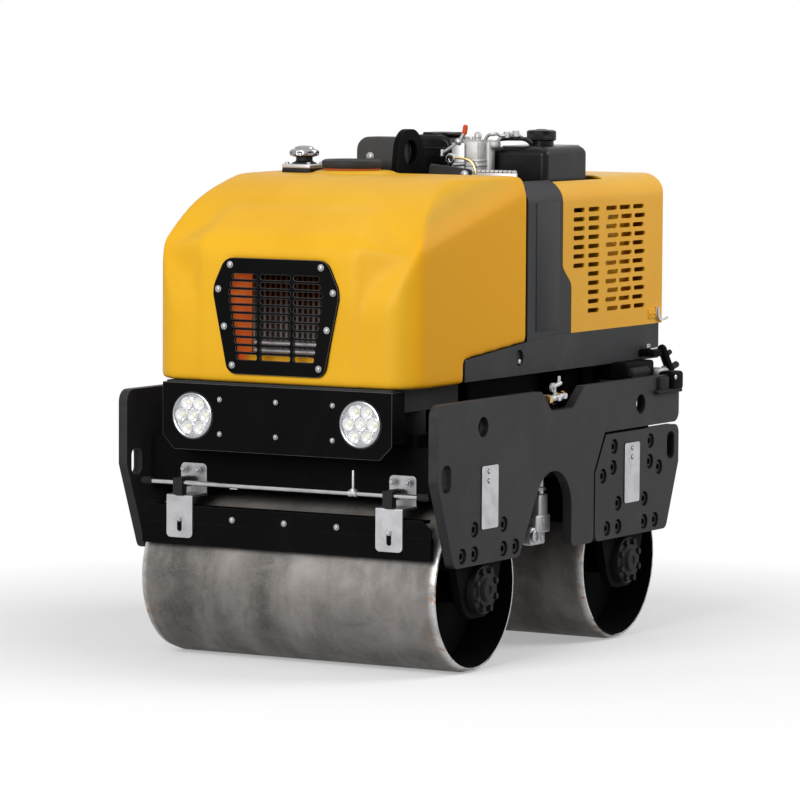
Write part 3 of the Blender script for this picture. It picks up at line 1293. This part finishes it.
fit(pump, "frame", BLACK, "black_paint")
support = joined("support", support)
fit(joined("rear_supports", [support, mirrored(support)]), "frame", None, "black_paint")
print("rear supports: 2")

# %% [markdown]
# ## Guide bar
# The machine is led by a bar behind it, which folds on a pin. Its places are easiest along the bar, so a
# helper turns a place on the bar into a place in the frame. The loop is one bent tube with two ribbed
# rubber grips.

# %% Guide bar and loop
BAR_PIN = middle("drawbar_pin")
BAR_LEAN = math.radians(52.0)
BAR_ALONG = Vector((0, math.cos(BAR_LEAN), math.sin(BAR_LEAN)))
BAR_UP = Vector((0, -math.sin(BAR_LEAN), math.cos(BAR_LEAN)))
CROSS, REACH, LOOP_R, LOOP_X = 370.0, 505.0, 15.0, 173.0


def on_bar(x, along, up):
    """A place on the guide bar: across, along it from the pin, and up from it, in millimetres."""
    return BAR_PIN + LEFT * (x * MM) + BAR_ALONG * (along * MM) + BAR_UP * (up * MM)


def slab(name, lowest, highest, soft, material):
    """A soft block that lies along the guide bar."""
    block = bar(name, Vector(lowest) * MM, Vector(highest) * MM, soft, 3)
    block.matrix_world = Matrix.Translation(BAR_PIN) @ Matrix.Rotation(BAR_LEAN, 4, "X")
    alone(block)
    bpy.ops.object.transform_apply(location=True, rotation=True, scale=True)
    return coated(block, material)


soften("drawbar", 4.0, HOOD, "yellow_paint", "guide", 3)
HALF = ((10, CROSS), (60, CROSS), (130, CROSS), (LOOP_X - 4, CROSS), (LOOP_X, CROSS + 4),
        (LOOP_X, CROSS + 40), (LOOP_X, REACH - 40), (LOOP_X, REACH - 4), (LOOP_X - 4, REACH),
        (130, REACH), (60, REACH))
route = [on_bar(-x, along, 0) for x, along in HALF] + [on_bar(x, along, 0) for x, along in reversed(HALF)]
rail = [coated(pipe("tube", route, LOOP_R), BLACK),
        slab("head", (-34, CROSS - 19, -14), (34, CROSS + 17, 14), 5.0, BLACK)]
GRIP = [(15.5, 0), (18.5, 2), (18.5, 8)]
for step in range(9):
    GRIP += [(17.2, 10 + step * 10), (17.2, 13 + step * 10), (18.2, 14 + step * 10), (18.2, 18 + step * 10)]
GRIP += [(18.5, 102), (18.5, 108), (15.5, 110)]
for side in (-1, 1):
    rail.append(fitting("grip", GRIP, 28, RUBBER, on_bar(side * 28, REACH, 0), (side, 0, 0)))
bracket_x = high("drawbar_bracket").x - 28 * MM
for side in (-1, 1):
    rail.append(fitting("pin nut", [(20, 0), (20, 3), (17, 3.5), (17, 14), (14, 17), (8, 17), (7, 20)], 6,
                        ZINC, BAR_PIN + LEFT * (side * bracket_x), (side, 0, 0)))
fit(joined("guide_rail", rail), "guide", None, "black_paint", "guide_loop")
print("guide rail points:", len(route))

# %% [markdown]
# ## Console
# The console is a soft box with a lid and a rubber seam, with two toggles, a key switch and a red stop
# knob, all without lettering. The travel lever stands beside them in a ribbed rubber boot.

# %% Console and lever
BOX_FROM, BOX_TO, BOX_LOW, BOX_TOP, BOX_X = 260.0, 356.0, 33.0, 85.0, 70.0
STOP_RED = moulded_black("stop knob", (0.55, 0.020, 0.012), 0.28, 0.35)
desk = [
    slab("tray", (-BOX_X, BOX_FROM, BOX_LOW - 0.5), (BOX_X, BOX_TO, BOX_TOP - 16), 9.0, PLASTIC),
    slab("lid", (-BOX_X + 2, BOX_FROM + 2, BOX_TOP - 19), (BOX_X - 2, BOX_TO - 2, BOX_TOP - 2), 6.0,
         PLASTIC),
    slab("seam", (-BOX_X - 0.6, BOX_FROM - 0.6, BOX_TOP - 19), (BOX_X + 0.6, BOX_TO + 0.6, BOX_TOP - 15),
         1.2, RUBBER),
    fitting("knob seat", [(15, -4), (15, 2), (13, 3)], 28, ZINC, on_bar(-36, 326, BOX_TOP - 2), BAR_UP),
    fitting("stop knob", [(9, 0), (9, 8), (17, 10), (18, 13), (17, 17), (12, 19), (4, 20)], 28, STOP_RED,
            on_bar(-36, 326, BOX_TOP), BAR_UP),
    fitting("key switch", [(11, -4), (11, 3), (9, 5), (7, 5), (6.5, 3)], 24, CHROME,
            on_bar(-40, 284, BOX_TOP - 2), BAR_UP),
]
for along in (284, 326):
    desk.append(fitting("toggle seat", [(8, -4), (8, 2), (6, 3)], 6, ZINC, on_bar(0, along, BOX_TOP - 2),
                        BAR_UP))
    desk.append(rod("toggle", on_bar(0, along, BOX_TOP - 2), on_bar(0, along + 5, BOX_TOP + 14), 2.6,
                    CHROME))
for x in (-BOX_X + 10, BOX_X - 10):
    for along in (BOX_FROM + 10, BOX_TO - 10):
        desk.append(fitting("screw", [(4, -1), (4, 1.4), (2.6, 2.2)], 14, ZINC,
                            on_bar(x, along, BOX_TOP - 2.4), BAR_UP))
fit(joined("console", desk), "guide", None, "black_plastic", "control_box")

LEVER_X, LEVER_ALONG = 30.0, 308.0
boot = [(24, -3), (24, 1)]
for step in range(4):
    boot += [(21 - step * 4, 2 + step * 5), (22 - step * 4, 4 + step * 5)]
boot += [(7, 24), (7, 27)]
stick = [
    fitting("boot", boot, 28, RUBBER, on_bar(LEVER_X, LEVER_ALONG, BOX_TOP - 2), BAR_UP),
    rod("stick", on_bar(LEVER_X, LEVER_ALONG, BOX_TOP - 2), on_bar(LEVER_X, LEVER_ALONG, BOX_TOP + 50), 5.5,
        CHROME),
    fitting("knob", [(7, 0), (8.5, 2), (10, 8), (15, 16), (16, 23), (14.5, 29), (10, 33.5), (4, 35)], 28,
            GLOSSY, on_bar(LEVER_X, LEVER_ALONG, BOX_TOP + 32), BAR_UP),
]
fit(joined("lever", stick), "guide", None, "black_plastic", "travel_lever")
print("console parts:", len(desk) + len(stick))

# %% [markdown]
# ## Back of the hood
# The hood's back is sheet steel, stiffened by a pressed field with louvres, and it has a bowed handle to
# lift it. A louvre is a flat bar whose upper edge stands out; one is shaped by moving its top outwards,
# and the rest are copies. Inside, the yellow oil tank stands behind the engine, which is what shows
# through the side slots.

# %% Back of the hood
hood_back = high("engine_hood").y
pattern = bar("louvre", Vector((-92, -5, -2)) * MM, Vector((92, 3, 2)) * MM, 3.0, 3)
pick(pattern, lambda mid, out: out.z > 0.5)
bpy.ops.transform.translate(value=(0, 0.004, 0))
bpy.ops.object.mode_set(mode="OBJECT")
rows = [(Vector((side * 112 * MM, hood_back, (960 + step * 22) * MM)), UP)
        for side in (-1, 1) for step in range(8)]
fit(stamped("hood_louvres", pattern, rows), "frame", HOOD, "yellow_paint")
HANDLE_Z = 1176
BOW = ((-70, 738), (-70, 760), (-68, 782), (-50, 786), (0, 787), (50, 786), (68, 782), (70, 760), (70, 738))
handle = [coated(pipe("bow", [at(x, y, HANDLE_Z) for x, y in BOW], 6.5), BLACK)]
for x in (-70, 70):
    handle.append(fitting("foot", [(15, -1), (15, 4), (11, 6), (9, 6)], 28, BLACK,
                          Vector((x * MM, hood_back, HANDLE_Z * MM)), BACK))
fit(joined("hood_handle", handle), "frame", None, "black_paint")
oil = bar("oil_tank", at(-330, 490, 822), at(330, 692, 1150), 24.0, 5)
fit(oil, "frame", HOOD, "yellow_paint")
print("louvres:", len(rows))

# %% [markdown]
# ## Rivets
# The blank plates on the left side are held by two rivets each, one under the other near the top.

# %% Rivets
label_high = high("label_plates")
rivets = []
for axle in (FRONT_AXLE, REAR_AXLE):
    for drop in (16, 40):
        rivets.append((Vector((label_high.x - 0.3 * MM, axle.y, label_high.z - drop * MM)), LEFT))
rivet = joined("rivet", [coated(turned("head", [(4.6, 0), (4.6, 1.2), (3.4, 2.4), (1.6, 2.9)], 20), CAST),
                         coated(turned("seat", [(6.6, 0), (6.6, 0.7), (6.2, 0.9)], 20), BLACK)])
fit(stamped("label_rivets", rivet, rivets), "frame", None, "zinc_steel")
print("rivets:", len(rivets))

# %% [markdown]
# ## Finishes of the nodes that stay
# The other CAD nodes keep their shape and only get their finish.

# %% Painting the frame's own nodes
NODE_LOOK = {
    "lower_frame": BLACK, "scraper_strips": BLACK, "inner_scrapers": BLACK, "engine_block": BLACK,
    "drum_hangers": DRUM_BLACK, "front_drum_ends": DRUM_BLACK, "rear_drum_ends": DRUM_BLACK,
    "rubber_buffers": RUBBER, "muffler": CAST, "drawbar_pin": ZINC, "spray_rods": ROD, "oil_cooler": FINS,
}
for name, material in NODE_LOOK.items():
    paint(node[name], material)
print("painted nodes:", len(NODE_LOOK))

# %% [markdown]
# ## Camera
# The photograph was taken with a long lens, thirty degrees round from the front and a little above
# the cowl's middle. A small roll and a lens shift put the machine where the picture has it.

# %% Camera
CAMERA_FROM_TARGET = Vector((6.2846, -10.9079, 1.1500))
TARGET = at(0, 0, 511.2)
ROLL = 0.006
bpy.ops.object.camera_add(location=TARGET + CAMERA_FROM_TARGET)
camera = bpy.context.object
aim = (-CAMERA_FROM_TARGET).to_track_quat("-Z", "Y").to_matrix().to_4x4()
camera.matrix_world = Matrix.Translation(TARGET + CAMERA_FROM_TARGET) @ aim @ Matrix.Rotation(ROLL, 4, "Z")
camera.data.sensor_width = 36.0
camera.data.lens = 215.2
camera.data.shift_x = -0.0055
camera.data.shift_y = 0.0640
camera.data.clip_end = 100.0
bpy.context.scene.camera = camera
print("camera at", camera.location)

# %% [markdown]
# ## Floor
# The floor is white to the camera and to reflections; near the machine it also takes its shadow. To the
# light that falls on the machine it is dim, so that it throws up no glare.

# %% Floor and backdrop
def seen_rays(tree):
    """1 for what the camera sees, directly, in a mirror or through glass, and 0 for light on surfaces."""
    path = tree.nodes.new("ShaderNodeLightPath")
    camera_ray, mirror, glass = (Value(tree, path.outputs[name]) for name in
                                 ("Is Camera Ray", "Is Glossy Ray", "Is Transmission Ray"))
    return (camera_ray + mirror + glass) > 0.5


def floor_finish():
    look = Finish("studio floor")
    tree = look.tree
    reach = look.node("ShaderNodeVectorMath", "Value", {"operation": "LENGTH"}, Vector=look.place)
    far = reach.between(1.0, 2.0)
    seen = seen_rays(tree)
    speck = look.noise(3.0, 2.0)
    near = look.node("ShaderNodeBsdfDiffuse",
                     Color=look.blend((0.93, 0.93, 0.93), (0.90, 0.90, 0.90), speck))
    dim = look.node("ShaderNodeBsdfDiffuse", Color=(0.16, 0.16, 0.16, 1.0))
    white = look.node("ShaderNodeEmission", Color=(1.0, 1.0, 1.0, 1.0), Strength=1.0)

    def mixed(amount, first, second):
        mix = tree.nodes.new("ShaderNodeMixShader")
        look.plug(mix.inputs["Fac"], amount)
        tree.links.new(first.socket, mix.inputs[1])
        tree.links.new(second.socket, mix.inputs[2])
        return Value(tree, mix.outputs[0])

    lit = mixed(0.35 + 0.65 * far, near, white)
    both = mixed(seen, dim, lit)
    tree.links.new(both.socket, tree.nodes["Material Output"].inputs["Surface"])
    return look.material


bpy.ops.object.select_all(action="DESELECT")
bpy.ops.mesh.primitive_plane_add(size=40.0, location=(0, 0, 0))
floor = bpy.context.object
floor.name = "floor"
paint(floor, floor_finish())
print("floor:", floor.name)

# %% [markdown]
# ## World and lamps
# Three wide lamps and a weak sky light the machine at a plain level, so the colours come out as they are
# written. The backdrop is white only to what the camera sees.

# %% World and lamps
world = bpy.data.worlds.new("studio")
bpy.context.scene.world = world
world.use_nodes = True
sky = world.node_tree
plain = sky.nodes["Background"]
plain.inputs["Color"].default_value = (0.96, 0.98, 1.0, 1.0)
plain.inputs["Strength"].default_value = 0.24
white = sky.nodes.new("ShaderNodeBackground")
white.inputs["Color"].default_value = (1.0, 1.0, 1.0, 1.0)
white.inputs["Strength"].default_value = 1.0
mix = sky.nodes.new("ShaderNodeMixShader")
sky.links.new(seen_rays(sky).socket, mix.inputs["Fac"])
sky.links.new(plain.outputs[0], mix.inputs[1])
sky.links.new(white.outputs[0], mix.inputs[2])
sky.links.new(mix.outputs[0], sky.nodes["World Output"].inputs["Surface"])


def soft_lamp(name, place, aim_at, size, watts):
    bpy.ops.object.light_add(type="AREA", location=place)
    lamp = bpy.context.object
    lamp.name = name
    lamp.data.shape = "SQUARE"
    lamp.data.size = size
    lamp.data.energy = watts
    lamp.rotation_euler = (aim_at - place).to_track_quat("-Z", "Y").to_euler()


soft_lamp("key", at(100, -5400, 2800), at(0, 0, 700), 3.0, 275.0)
soft_lamp("side", at(4000, 2400, 3400), at(0, 0, 800), 3.0, 150.0)
soft_lamp("top", at(0, 400, 4600), at(0, 0, 800), 3.5, 30.0)
bpy.context.scene.view_settings.view_transform = "Standard"
print("lamps set")
